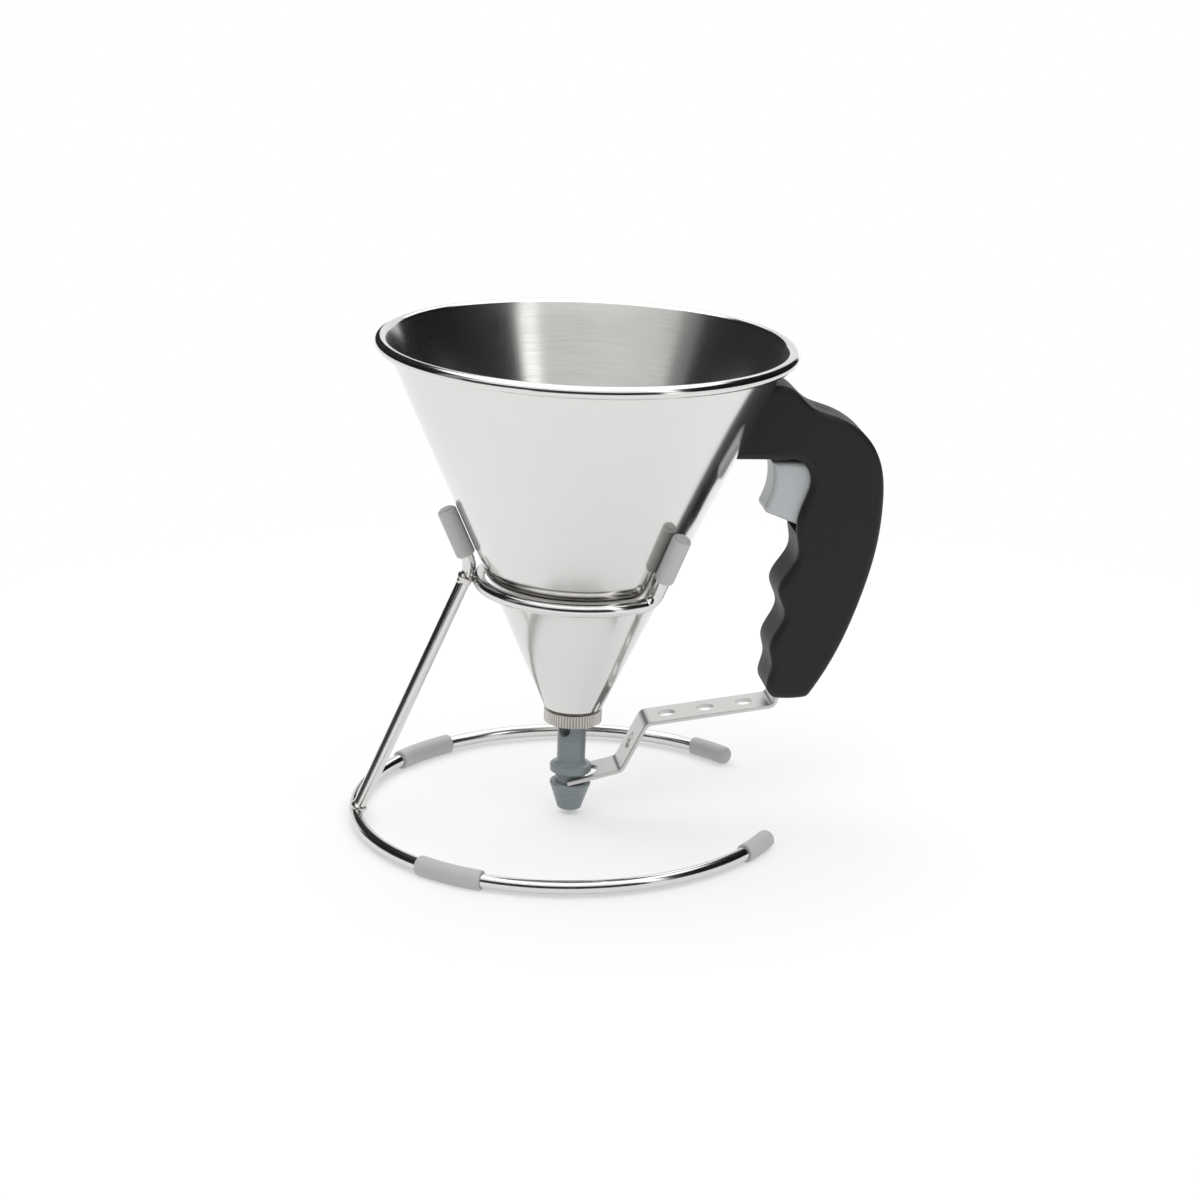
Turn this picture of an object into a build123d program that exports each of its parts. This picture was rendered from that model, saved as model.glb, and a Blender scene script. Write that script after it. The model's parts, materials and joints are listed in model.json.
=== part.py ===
from build123d import *
import os
from math import asin, atan2, cos, degrees, radians, sin, sqrt, tan

# Piston funnel in its wire stand.
# A steel cone hangs by three rubber-capped prongs in a bent-wire stand. Squeezing the trigger in
# the black handle turns a bent strip lever, whose fork lifts the plastic piston at the outlet.
# Lengths are millimetres, angles degrees. +Z is up, +X points to the handle, Z = 0 is the table.

# Cone
RIM_D = 150.0
BEAD_D = 4.4
CONE_HALF_ANGLE = 24.35
CONE_WALL = 1.0
OUTLET_D = 21.6

# Outlet: spigot, seal and knurled ring
RING_D = 21.2
RING_H = 5.2
RING_GAP = 1.0
RING_LIP = 1.2
KNURL_COUNT = 60
KNURL_DEPTH = 0.35
SPIGOT_D = 16.8
SEAL_H = 1.8
FERRULE_RISE = 1.6
FERRULE_LIP = 0.4
FERRULE_BORE_GAP = 0.4

# Piston, from the tip upward
TABLE_GAP = 2.1
TIP_H = 10.6
TIP_D = 15.0
TIP_END_D = 9.2
TIP_LAND = 1.6
GROOVE_H = 3.9
NECK_D = 11.0
COLLAR_H = 2.9
COLLAR_D = 15.3
FLARE_R = 2.0
TUBE_D = 10.4
TUBE_SHOWN = 16.5
HEAD_RISE = 5.3
PISTON_BORE_D = 6.4
PORT_D = 5.0
PORT_BELOW_RING = 2.6
PORT_TURN = 45.0
PISTON_EDGE_R = 0.4

# Lever strip
STRIP_T = 1.5
STRIP_W = 15.4
FORK_REACH = 2.0
FORK_SLOT_END = 9.9
FORK_RISE = 1.45
FORK_SLOPE = 14.5
LOWER_BEND_X = 17.9
UPPER_BEND_X = 26.6
UPPER_BEND_DROP = 5.4
ARM_HOLE_D = 6.4
ARM_HOLE_PITCH = 14.4
ARM_HOLE_START = 8.4
ARM_HOLE_COUNT = 3
STRIP_BEND_R = 3.2
STRIP_EDGE_R = 0.35
ARM_END_IN = 19.7
ARM_END_DOWN = 93.8
PIVOT_UP = 8.3
PIVOT_PIN_D = 3.0
PIVOT_TUBE_D = 6.4
TUBE_WELD = 0.4
STRIP_KNEE_DOWN = 33.5
STRIP_TOP_IN = 30.1
STRIP_TOP_DOWN = 3.5
SQUEEZE = 6.5

# Handle, measured from its heel: the corner where its underside meets the cone
HANDLE_DROP = 38.8
HANDLE_W = 22.0
HANDLE_WALL = 2.7
HANDLE_EDGE_R = 2.5
HANDLE_TOE_R = 2.8
HANDLE_REACH = 54.6
HANDLE_TOE_DOWN = 90.2
PIN_GRIP = 1.9
CONE_BITE = 10.0

# Back of the handle from the thumb rest down: inset from the full reach, height above the heel
HANDLE_BACK = [
    (40.2, 27.1),
    (35.6, 25.7),
    (27.7, 19.0),
    (20.8, 16.4),
    (14.2, 13.6),
    (6.1, 6.9),
    (1.4, -2.6),
    (0.0, -15.5),
    (1.0, -30.6),
    (6.0, -52.0),
    (13.7, -72.5),
    (23.5, -89.5),
]

# Finger side of the handle from the toe up, over three finger grips and the trigger's opening
HANDLE_FRONT = [
    (18.7, -89.9),
    (15.8, -85.0),
    (17.2, -77.2),
    (16.0, -70.7),
    (20.7, -57.5),
    (18.0, -49.2),
    (24.3, -36.0),
    (23.4, -27.0),
    (26.1, -13.8),
    (27.5, -7.2),
    (24.9, -1.8),
    (19.1, 0.0),
]

# Hollow of the handle
HOLLOW_TOP = 1.5
HOLLOW_GAP = 1.0
MOUTH_FRONT = 2.9
SPRING_WALL = 4.1

# Trigger, measured forward from the strip and down from the heel
TRIGGER_W = 14.6
TRIGGER_TOP = 1.5
TRIGGER_LOW = 25.6
TRIGGER_FACE = [(15.85, 1.5), (14.95, 8.5), (18.35, 19.9)]
TRIGGER_CHIN = (5.25, 24.9)
TRIGGER_EDGE_R = 2.0

# Spring, rivets, screws and bracket in the handle
SPRING_DOWN = 14.5
SPRING_D = 8.0
SPRING_WIRE_D = 1.0
SPRING_TURNS = 7
RIVET_D = 3.0
RIVET_HEAD_D = 4.6
RIVET_HEAD_H = 1.2
RIVET_DEPTH = 6.0
RIVET_HIGH_DOWN = 6.5
RIVET_LOW_DOWN = 21.5
SCREW_D = 3.0
SCREW_HEAD_D = 5.6
SCREW_HEAD_H = 2.2
BRACKET_SCREWS = [(20.0, 14.0), (31.0, 11.0)]
GRIP_SCREW = (34.0, -74.0)
BRACKET_T = 3.0
BRACKET_REACH = 35.0
BRACKET_LOW = 4.0
BRACKET_HIGH = 22.0
BRACKET_SLOPE = 5.0

# Wire stand
WIRE_D = 5.0
BASE_D = 157.2
BASE_BACK = 3.4
BASE_OPENING = 31.8
SUPPORT_Z = 89.5
SEAT_LEAN = 2.0
SEAT_Z = 95.0
PRONG_ANGLE = 50.5
PRONG_BEND_R = 5.0
PRONG_RUN = 6.0
LEG_BEND_R = 8.0
WELD_D = 6.4

# Rubber caps and sleeves
CAP_D = 7.0
CAP_LEN = 18.5
CAP_END = 2.5
CAP_Z = 99.3
CAP_EDGE_R = 0.8
BUTTON_D = 4.8
BUTTON_H = 0.4
SLEEVE_D = 7.2
SLEEVE_FLAT = 0.2
SLEEVE_ANGLE = 129.0
SLEEVE_SPAN = 19.0
END_CAP_LEN = 17.5
END_CAP_EDGE_R = 1.5

# Clearances
RUN_FIT = 0.05
SLIP_FIT = 0.05
SEAT_GAP = 0.3
FORK_PLAY = 0.3
CONE_GAP = 0.15
FACE_GAP = 0.05

# Heights of the outlet stack
groove_low = TABLE_GAP + TIP_H
groove_high = groove_low + GROOVE_H
collar_top = groove_high + COLLAR_H
ring_low = collar_top + TUBE_SHOWN
ring_high = ring_low + RING_H
outlet_z = ring_high + RING_GAP
seal_low = ring_low + RING_LIP + FACE_GAP
seal_high = seal_low + SEAL_H
spigot_low = seal_high + FACE_GAP
piston_top = outlet_z + HEAD_RISE
port_z = ring_low - PORT_BELOW_RING
piston_bore_top = port_z + PORT_D

# Cone radii
slope = tan(radians(CONE_HALF_ANGLE))
skew = cos(radians(CONE_HALF_ANGLE))
bead_r = BEAD_D / 2
bead_x = RIM_D / 2 - bead_r
wall_run = CONE_WALL / skew
rim_z = outlet_z + (bead_x - bead_r / skew + wall_run - OUTLET_D / 2) / slope


def cone_r(z):
    """Outside radius of the cone at a height along its axis."""
    return OUTLET_D / 2 + (z - outlet_z) * slope


# The handle's heel, and points measured from it
heel_z = rim_z - HANDLE_DROP
heel_x = cone_r(heel_z)
half_handle = HANDLE_W / 2
half_hollow = half_handle - HANDLE_WALL


def at_heel(x, z):
    """Side-view point of the handle, measured out and up from its heel."""
    return (heel_x + x, heel_z + z)


# Planes: the base stands level, and the funnel leans a little toward its handle
base_reach = BASE_BACK + BASE_D / 2 + WIRE_D / 2
handle_reach = heel_x + HANDLE_REACH
funnel_x = (base_reach - handle_reach) / 2
seat = Location((funnel_x, 0, SEAT_Z), (0, SEAT_LEAN, 0)) * Location((0, 0, -SEAT_Z))
funnel_side = Plane(seat * Plane.XZ.location)


def across(x, z, tilt=0.0):
    """Plane at a side-view point, its normal turned from the funnel's axis toward +X."""
    return Plane(seat * Location((x, 0, z), (0, tilt, 0)))


def level(z):
    """Plane square to the funnel's axis at a height along it."""
    return across(0, z)


def in_seat(x, y, z):
    """World position of a point given in the leaning funnel's own frame."""
    return (seat * Location((x, y, z))).position


funnel_axis = Axis(level(0).origin, level(0).z_dir)

# Cone, its rim rolled outward: the inside runs straight into the bead
bead_middle = Vector(bead_x, rim_z)
wall_up = Vector(sin(radians(CONE_HALF_ANGLE)), skew)
wall_in = Vector(-wall_up.Y, wall_up.X)
bead_start = bead_middle + wall_in * bead_r
bead_out = bead_middle - wall_in * bead_r
bead_tuck = bead_r - CONE_WALL
bead_end = bead_middle + wall_in * bead_tuck - wall_up * sqrt(bead_r**2 - bead_tuck**2)
with BuildPart() as funnel_cone:
    with BuildSketch(funnel_side):
        with BuildLine():
            ThreePointArc(bead_start, bead_out, bead_end)
            Polyline(
                bead_end,
                (OUTLET_D / 2, outlet_z),
                (OUTLET_D / 2 - wall_run, outlet_z),
                bead_start,
            )
        make_face()
    revolve(axis=funnel_axis)


def cone_space(gap):
    """Solid filled out to the cone's outside and a gap beyond it."""
    grow = gap / skew
    with BuildPart() as space:
        with BuildSketch(funnel_side):
            with BuildLine():
                Polyline(
                    (0, outlet_z),
                    (OUTLET_D / 2 + grow, outlet_z),
                    (cone_r(rim_z) + grow, rim_z),
                    (0, rim_z),
                    close=True,
                )
            make_face()
        revolve(axis=funnel_axis)
    return space.part


weld_space = cone_space(0)
handle_space = cone_space(CONE_GAP)

# Spigot set in the cone's outlet, dished inside so that it drains
ferrule_r = OUTLET_D / 2 - wall_run - FACE_GAP
ferrule_bore_r = TUBE_D / 2 + FERRULE_BORE_GAP
with BuildPart() as outlet_ferrule:
    with BuildSketch(funnel_side):
        with BuildLine():
            Polyline(
                (ferrule_bore_r, spigot_low),
                (SPIGOT_D / 2, spigot_low),
                (SPIGOT_D / 2, outlet_z),
                (ferrule_r, outlet_z),
                (ferrule_r, outlet_z + FERRULE_RISE),
                (ferrule_bore_r, outlet_z + FERRULE_LIP),
                close=True,
            )
        make_face()
    revolve(axis=funnel_axis)

# Seal round the piston, held up by the knurled ring
with BuildPart() as piston_seal:
    with BuildSketch(level(seal_low)):
        Circle(SPIGOT_D / 2)
        Circle(TUBE_D / 2 + RUN_FIT, mode=Mode.SUBTRACT)
    extrude(amount=SEAL_H)

# Knurled ring screwed on the spigot
with BuildPart() as knurled_ring:
    with BuildSketch(level(ring_low)):
        Circle(RING_D / 2)
        with PolarLocations(RING_D / 2, KNURL_COUNT):
            RegularPolygon(KNURL_DEPTH, 4, mode=Mode.SUBTRACT)
        Circle(ferrule_bore_r, mode=Mode.SUBTRACT)
    extrude(amount=RING_H)
    with BuildSketch(level(ring_low + RING_LIP)):
        Circle(SPIGOT_D / 2 + RUN_FIT)
    extrude(amount=RING_H, mode=Mode.SUBTRACT)

# Piston: tip, fork groove, collar, and a closed tube with side ports into its bore
tip_round = (TIP_END_D - PISTON_BORE_D) / 3
with BuildPart() as piston:
    with BuildSketch(funnel_side) as piston_half:
        with BuildLine():
            Polyline(
                (0, piston_top),
                (0, TABLE_GAP),
                (TIP_END_D / 2, TABLE_GAP),
                (TIP_D / 2, groove_low - TIP_LAND),
                (TIP_D / 2, groove_low),
                (NECK_D / 2, groove_low),
                (NECK_D / 2, groove_high),
                (COLLAR_D / 2, groove_high),
                (COLLAR_D / 2, collar_top),
                (TUBE_D / 2 + FLARE_R, collar_top),
            )
            RadiusArc(
                (TUBE_D / 2 + FLARE_R, collar_top), (TUBE_D / 2, collar_top + FLARE_R), FLARE_R
            )
            Polyline(
                (TUBE_D / 2, collar_top + FLARE_R), (TUBE_D / 2, piston_top), (0, piston_top)
            )
        make_face()
        fillet(piston_half.vertices().group_by(Axis.Y)[0].sort_by(Axis.X)[-1], tip_round)
        fillet(piston_half.vertices().group_by(Axis.Y)[-1].sort_by(Axis.X)[-1], FLARE_R)
        tip_and_collar = piston_half.vertices().sort_by(Axis.X)[-4:]
        fillet(tip_and_collar, PISTON_EDGE_R)
    revolve(axis=funnel_axis)
    with BuildSketch(level(0)):
        Circle(PISTON_BORE_D / 2)
    extrude(amount=piston_bore_top, mode=Mode.SUBTRACT)
    with BuildSketch(Plane(seat * Location((0, 0, port_z), (0, 0, PORT_TURN)) * Plane.XZ.location)):
        Circle(PORT_D / 2)
    extrude(amount=TUBE_D, both=True, mode=Mode.SUBTRACT)

# Lever: corner points of the strip's middle, from the fork to the top end in the handle
fork_z = groove_low + FORK_RISE
fork_slope = tan(radians(FORK_SLOPE))
fork_tip = (-FORK_REACH, fork_z - FORK_REACH * fork_slope)
lower_bend = (LOWER_BEND_X, fork_z + LOWER_BEND_X * fork_slope)
upper_bend = (UPPER_BEND_X, outlet_z - UPPER_BEND_DROP)
arm_end = at_heel(ARM_END_IN, -ARM_END_DOWN)
knee = at_heel(STRIP_TOP_IN, -STRIP_KNEE_DOWN)
strip_top = at_heel(STRIP_TOP_IN, -STRIP_TOP_DOWN)


def along(start, end, distance):
    """Side-view point at a distance from start toward end, with the line's slope in degrees."""
    turn = atan2(end[1] - start[1], end[0] - start[0])
    return (start[0] + distance * cos(turn), start[1] + distance * sin(turn), degrees(turn))


# The pivot tube lies against the back of the strip, above the arm's end
rise = atan2(knee[1] - arm_end[1], knee[0] - arm_end[0])
pivot_off = (PIVOT_TUBE_D + STRIP_T) / 2 - TUBE_WELD
pivot_foot = along(arm_end, knee, PIVOT_UP)
pivot = (pivot_foot[0] + pivot_off * sin(rise), pivot_foot[1] - pivot_off * cos(rise))
arm_holes = [
    along(upper_bend, arm_end, ARM_HOLE_START + i * ARM_HOLE_PITCH) for i in range(ARM_HOLE_COUNT)
]
slant_hole = (
    (lower_bend[0] + upper_bend[0]) / 2,
    (lower_bend[1] + upper_bend[1]) / 2,
    degrees(atan2(upper_bend[1] - lower_bend[1], upper_bend[0] - lower_bend[0])),
)
strip_front = heel_x + STRIP_TOP_IN - STRIP_T / 2
strip_back = strip_front + STRIP_T
rivet_heights = [heel_z - RIVET_HIGH_DOWN, heel_z - RIVET_LOW_DOWN]
with BuildPart() as lever_arm:
    with BuildSketch(funnel_side):
        with BuildLine():
            FilletPolyline(
                fork_tip, lower_bend, upper_bend, arm_end, knee, strip_top, radius=STRIP_BEND_R
            )
        trace(line_width=STRIP_T)
    extrude(amount=STRIP_W / 2, both=True)
    fillet(lever_arm.faces().filter_by(Axis.Y).edges(), STRIP_EDGE_R)
    with BuildSketch(funnel_side):
        with Locations(pivot):
            Circle(PIVOT_TUBE_D / 2)
    extrude(amount=STRIP_W / 2, both=True)
    with BuildSketch(funnel_side):
        with Locations(pivot):
            Circle(PIVOT_PIN_D / 2 + RUN_FIT)
    extrude(amount=STRIP_W, both=True, mode=Mode.SUBTRACT)
    slot_r = NECK_D / 2 + FORK_PLAY
    with BuildSketch(level(fork_z)):
        with Locations((FORK_SLOT_END - slot_r, 0)):
            Circle(slot_r)
        with Locations((FORK_SLOT_END - slot_r, 0)):
            Rectangle(STRIP_W + FORK_REACH, 2 * slot_r, align=(Align.MAX, Align.CENTER))
    extrude(amount=COLLAR_D, both=True, mode=Mode.SUBTRACT)
    for x, z, turn in [*arm_holes, slant_hole]:
        with BuildSketch(across(x, z, -turn)):
            Circle(ARM_HOLE_D / 2)
        extrude(amount=STRIP_T, both=True, mode=Mode.SUBTRACT)
    for z in rivet_heights:
        with BuildSketch(across(strip_front, z, 90)):
            Circle(RIVET_D / 2)
        extrude(amount=STRIP_T, both=True, mode=Mode.SUBTRACT)


def before_strip(reach, drop):
    """Side-view point in front of the strip's top end, measured down from the heel."""
    return (strip_front - reach, heel_z - drop)


# Trigger riveted to the front of the strip's top end
with BuildPart() as trigger:
    with BuildSketch(funnel_side) as trigger_side:
        with BuildLine():
            face = Spline(*[before_strip(reach, drop) for reach, drop in TRIGGER_FACE])
            Polyline(
                face @ 1,
                before_strip(*TRIGGER_CHIN),
                before_strip(0, TRIGGER_LOW),
                before_strip(0, TRIGGER_TOP),
                face @ 0,
            )
        make_face()
        fillet(trigger_side.vertices().sort_by(Axis.X)[0], TRIGGER_EDGE_R)
    extrude(amount=TRIGGER_W / 2, both=True)
    back_face = trigger.faces().sort_by(Axis.X)[-1]
    side_edges = trigger.faces().filter_by(Axis.Y).edges()
    fillet(side_edges - back_face.edges(), TRIGGER_EDGE_R)
    for z in rivet_heights:
        with BuildSketch(across(strip_front, z, 90)):
            Circle(RIVET_D / 2)
        extrude(amount=-RIVET_DEPTH, mode=Mode.SUBTRACT)

with BuildPart() as trigger_rivets:
    for z in rivet_heights:
        with BuildSketch(across(strip_back, z, 90)):
            Circle(RIVET_D / 2)
        extrude(amount=-RIVET_DEPTH - STRIP_T)
        with BuildSketch(across(strip_back, z, 90)):
            Circle(RIVET_HEAD_D / 2)
        extrude(amount=RIVET_HEAD_H)

# Return spring between the strip and the back of the handle's hollow
spring_seat = heel_x + HANDLE_REACH - SPRING_WALL
spring_z = heel_z - SPRING_DOWN
spring_start = strip_back + FACE_GAP + SPRING_WIRE_D / 2
spring_end = spring_seat - FACE_GAP - SPRING_WIRE_D / 2
coil_r = (SPRING_D - SPRING_WIRE_D) / 2
half_turns = 2 * SPRING_TURNS
quarter = (spring_end - spring_start) / half_turns / 2


def coil_point(step):
    """Point on the spring's coil after a number of quarter turns."""
    turn = radians(90 * step)
    return in_seat(spring_start + step * quarter, coil_r * sin(turn), spring_z + coil_r * cos(turn))


with BuildPart() as return_spring:
    with BuildLine() as coil:
        for i in range(half_turns):
            ThreePointArc(coil_point(2 * i), coil_point(2 * i + 1), coil_point(2 * i + 2))
    with BuildSketch(Plane(coil.line @ 0, z_dir=coil.line % 0)):
        Circle(SPRING_WIRE_D / 2)
    sweep(path=coil.line)

# Tongue welded to the cone, held between the two halves of the handle
bracket_screws = [at_heel(x, z) for x, z in BRACKET_SCREWS]
screw_points = [*bracket_screws, at_heel(*GRIP_SCREW)]


def tongue(gap):
    """Side-view corners of the tongue, grown by a gap, reaching into the cone."""
    return [
        at_heel(-CONE_BITE, BRACKET_LOW - gap),
        at_heel(BRACKET_REACH + gap, BRACKET_LOW - gap),
        at_heel(BRACKET_REACH + gap, BRACKET_HIGH - BRACKET_SLOPE + gap),
        at_heel(-CONE_BITE, BRACKET_HIGH + gap),
    ]


with BuildPart() as handle_bracket:
    with BuildSketch(funnel_side):
        with BuildLine():
            Polyline(*tongue(0), close=True)
        make_face()
    extrude(amount=BRACKET_T / 2, both=True)
    add(weld_space, mode=Mode.SUBTRACT)
    with BuildSketch(funnel_side):
        with Locations(*bracket_screws):
            Circle(SCREW_D / 2 + SLIP_FIT)
    extrude(amount=BRACKET_T, both=True, mode=Mode.SUBTRACT)


def swing(z):
    """How far the lever moves back at a height when it is squeezed."""
    return (z - pivot[1]) * sin(radians(SQUEEZE))


# Hollow of the handle: room for the strip, the trigger and the spring through the whole squeeze
handle_top = HANDLE_BACK[0][1]
toe_x = (HANDLE_REACH - HANDLE_BACK[-1][0] + HANDLE_FRONT[0][0]) / 2
strip_room = STRIP_T / 2 + HOLLOW_GAP
tube_room = PIVOT_TUBE_D / 2 + HOLLOW_GAP
spring_room = SPRING_D / 2 + HOLLOW_GAP
mouth_z = heel_z - ARM_END_DOWN
hollow_low = heel_z - TRIGGER_LOW - 2 * HOLLOW_GAP
hollow_top = heel_z + HOLLOW_TOP
trigger_tip = strip_front - TRIGGER_FACE[-1][0]
hollow = [
    (arm_end[0] - MOUTH_FRONT, mouth_z),
    (arm_end[0] - MOUTH_FRONT, pivot[1] - PIVOT_PIN_D),
    (pivot_foot[0] - strip_room, pivot[1] + tube_room),
    (knee[0] - strip_room, knee[1]),
    (knee[0] - strip_room, hollow_low),
    (trigger_tip, hollow_low),
    (trigger_tip, hollow_top),
    (strip_back + RIVET_HEAD_H + swing(hollow_top) + HOLLOW_GAP, hollow_top),
    (spring_seat, spring_z + spring_room),
    (spring_seat, spring_z - spring_room),
    (knee[0] + strip_room + swing(knee[1]), knee[1]),
    (pivot[0] + tube_room, pivot[1] + tube_room),
    (pivot[0] + tube_room, mouth_z),
]


def handle_shell(side):
    """One half of the handle: side is 1 for the near half (-Y) and -1 for the far half."""
    with BuildPart() as shell:
        with BuildSketch(funnel_side) as outline:
            with BuildLine():
                back = Spline(*[at_heel(HANDLE_REACH - inset, z) for inset, z in HANDLE_BACK])
                front = Spline(*[at_heel(x, z) for x, z in HANDLE_FRONT])
                ThreePointArc(back @ 1, at_heel(toe_x, -HANDLE_TOE_DOWN), front @ 0)
                Polyline(front @ 1, at_heel(-CONE_BITE, 0), at_heel(-CONE_BITE, handle_top), back @ 0)
            make_face()
            fillet(outline.vertices().sort_by(Axis.Y)[0:2], HANDLE_TOE_R)
        extrude(amount=side * half_handle)
        side_face = shell.faces().filter_by(Axis.Y).sort_by(Axis.Y)[0 if side > 0 else -1]
        fillet(side_face.edges(), HANDLE_EDGE_R)
        add(handle_space, mode=Mode.SUBTRACT)
        with BuildSketch(funnel_side):
            with BuildLine():
                Polyline(*hollow, close=True)
            make_face()
        extrude(amount=side * half_hollow, mode=Mode.SUBTRACT)
        with BuildSketch(funnel_side):
            with BuildLine():
                Polyline(*tongue(FACE_GAP), close=True)
            make_face()
        extrude(amount=side * (BRACKET_T / 2 + FACE_GAP), mode=Mode.SUBTRACT)
        with BuildSketch(funnel_side):
            with Locations(pivot):
                Circle(PIVOT_PIN_D / 2 + SLIP_FIT)
        extrude(amount=side * (half_hollow + PIN_GRIP), mode=Mode.SUBTRACT)
        with BuildSketch(funnel_side):
            with Locations(*screw_points):
                Circle(SCREW_D / 2 + SLIP_FIT)
        extrude(amount=side * half_hollow, mode=Mode.SUBTRACT)
        if side < 0:
            with BuildSketch(funnel_side.offset(-half_handle)):
                with Locations(*screw_points):
                    Circle(SCREW_HEAD_D / 2 + SLIP_FIT)
            extrude(amount=HANDLE_WALL, mode=Mode.SUBTRACT)
    return shell


handle_shell_near = handle_shell(1)
handle_shell_far = handle_shell(-1)

# Screws from the far side into the near half
with BuildPart() as handle_screws:
    with BuildSketch(funnel_side.offset(-half_hollow)):
        with Locations(*screw_points):
            Circle(SCREW_D / 2)
    extrude(amount=2 * half_hollow - HANDLE_WALL)
    with BuildSketch(funnel_side.offset(-half_hollow)):
        with Locations(*screw_points):
            Circle(SCREW_HEAD_D / 2)
    extrude(amount=-SCREW_HEAD_H)

with BuildPart() as lever_pin:
    with BuildSketch(funnel_side):
        with Locations(pivot):
            Circle(PIVOT_PIN_D / 2)
    extrude(amount=half_hollow + PIN_GRIP - FACE_GAP, both=True)

# Wire stand: base ring
wire_r = WIRE_D / 2
base_r = BASE_D / 2
base_z = SLEEVE_D / 2 - SLEEVE_FLAT
base_centre = Vector(funnel_x - BASE_BACK, 0, 0)
base_axis = Axis(base_centre, (0, 0, 1))
wire_start = BASE_OPENING + degrees(CAP_END / base_r)


def base_section(turn):
    """Upright plane through the base's axis at an angle from +X."""
    out = Vector(cos(radians(turn)), sin(radians(turn)), 0)
    return Plane(base_centre, x_dir=out, z_dir=(out.Y, -out.X, 0))


with BuildPart() as base_ring:
    with BuildSketch(base_section(wire_start)):
        with Locations((base_r, base_z)):
            Circle(wire_r)
    revolve(axis=base_axis, revolution_arc=360 - 2 * wire_start)


def foot_sleeve(start):
    """Rubber tube on the base ring from an angle onward, cut flat where it stands."""
    with BuildPart() as sleeve:
        with BuildSketch(base_section(start)):
            with Locations((base_r, base_z)):
                Circle(SLEEVE_D / 2)
                Circle(wire_r + SLIP_FIT, mode=Mode.SUBTRACT)
            with Locations((base_r, 0)):
                Rectangle(SLEEVE_D, SLEEVE_D, align=(Align.CENTER, Align.MAX), mode=Mode.SUBTRACT)
        revolve(axis=base_axis, revolution_arc=SLEEVE_SPAN)
    return sleeve


foot_sleeve_front = foot_sleeve(-SLEEVE_ANGLE - SLEEVE_SPAN / 2)
foot_sleeve_rear = foot_sleeve(SLEEVE_ANGLE - SLEEVE_SPAN / 2)
end_cap_turn = degrees(END_CAP_LEN / base_r)
end_wall_turn = degrees(CAP_END / base_r)


def base_end_cap(side):
    """Rubber cap on one end of the base ring: side is -1 at the front and 1 at the rear."""
    tip = BASE_OPENING if side > 0 else -BASE_OPENING
    start = tip if side > 0 else tip - end_cap_turn
    bore_start = tip + end_wall_turn if side > 0 else start
    with BuildPart() as cap:
        with BuildSketch(base_section(start)):
            with Locations((base_r, base_z)):
                Circle(base_z)
        revolve(axis=base_axis, revolution_arc=end_cap_turn)
        tip_face = cap.faces().filter_by(GeomType.PLANE).sort_by(Axis.X)[-1]
        fillet(tip_face.edges(), END_CAP_EDGE_R)
        with BuildSketch(base_section(bore_start)):
            with Locations((base_r, base_z)):
                Circle(wire_r + SLIP_FIT)
        revolve(axis=base_axis, revolution_arc=end_cap_turn - end_wall_turn, mode=Mode.SUBTRACT)
    return cap


base_end_cap_front = base_end_cap(-1)
base_end_cap_rear = base_end_cap(1)

# Prongs: their middles run along the cone at the caps' radius and a small gap
cap_offset = (CAP_D / 2 + SEAT_GAP) / skew
wire_end_z = CAP_Z + (CAP_LEN - CAP_END - FACE_GAP) * skew


def on_prong(turn, z):
    """World point on the middle of the prong at an angle from +X, at a height in the seat."""
    r = cone_r(z) + cap_offset
    return in_seat(r * cos(radians(turn)), r * sin(radians(turn)), z)


# Support ring: one wire, bent up at both ends into the two prongs beside the opening
corner_r = cone_r(SUPPORT_Z) + cap_offset
support_r = sqrt(corner_r**2 - PRONG_RUN**2)
ring_end = PRONG_ANGLE + degrees(atan2(PRONG_RUN, support_r))


def on_support(turn):
    """World point on the middle of the support ring at an angle from +X."""
    return in_seat(support_r * cos(radians(turn)), support_r * sin(radians(turn)), SUPPORT_Z)


with BuildPart() as support_ring:
    with BuildLine() as ring_path:
        FilletPolyline(
            on_prong(-PRONG_ANGLE, wire_end_z),
            on_prong(-PRONG_ANGLE, SUPPORT_Z),
            on_support(-ring_end),
            radius=PRONG_BEND_R,
        )
        ThreePointArc(on_support(-ring_end), on_support(180), on_support(ring_end))
        FilletPolyline(
            on_support(ring_end),
            on_prong(PRONG_ANGLE, SUPPORT_Z),
            on_prong(PRONG_ANGLE, wire_end_z),
            radius=PRONG_BEND_R,
        )
    with BuildSketch(Plane(ring_path.line @ 0, z_dir=ring_path.line % 0)):
        Circle(wire_r)
    sweep(path=ring_path.line)

# Leg: from the base ring up past the support ring, which it touches, then bent out as a prong
leg_foot = base_centre + Vector(-base_r, 0, base_z)
ring_back = on_support(180)
to_ring = ring_back - leg_foot
leg_lean = atan2(to_ring.X, to_ring.Z) - asin((WIRE_D + FACE_GAP) / to_ring.length)
leg_dir = Vector(sin(leg_lean), 0, cos(leg_lean))
prong_low = on_prong(180, SUPPORT_Z)
prong_dir = (on_prong(180, CAP_Z) - prong_low).normalized()
gap_to_prong = prong_low - leg_foot
turn_area = leg_dir.X * prong_dir.Z - leg_dir.Z * prong_dir.X
leg_len = (gap_to_prong.X * prong_dir.Z - gap_to_prong.Z * prong_dir.X) / turn_area
leg_bend = leg_foot + leg_dir * leg_len
with BuildPart() as leg:
    with BuildLine() as leg_path:
        FilletPolyline(leg_foot, leg_bend, on_prong(180, wire_end_z), radius=LEG_BEND_R)
    with BuildSketch(Plane(leg_path.line @ 0, z_dir=leg_path.line % 0)):
        Circle(wire_r)
    sweep(path=leg_path.line)
    add(base_ring.part, mode=Mode.SUBTRACT)

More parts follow.
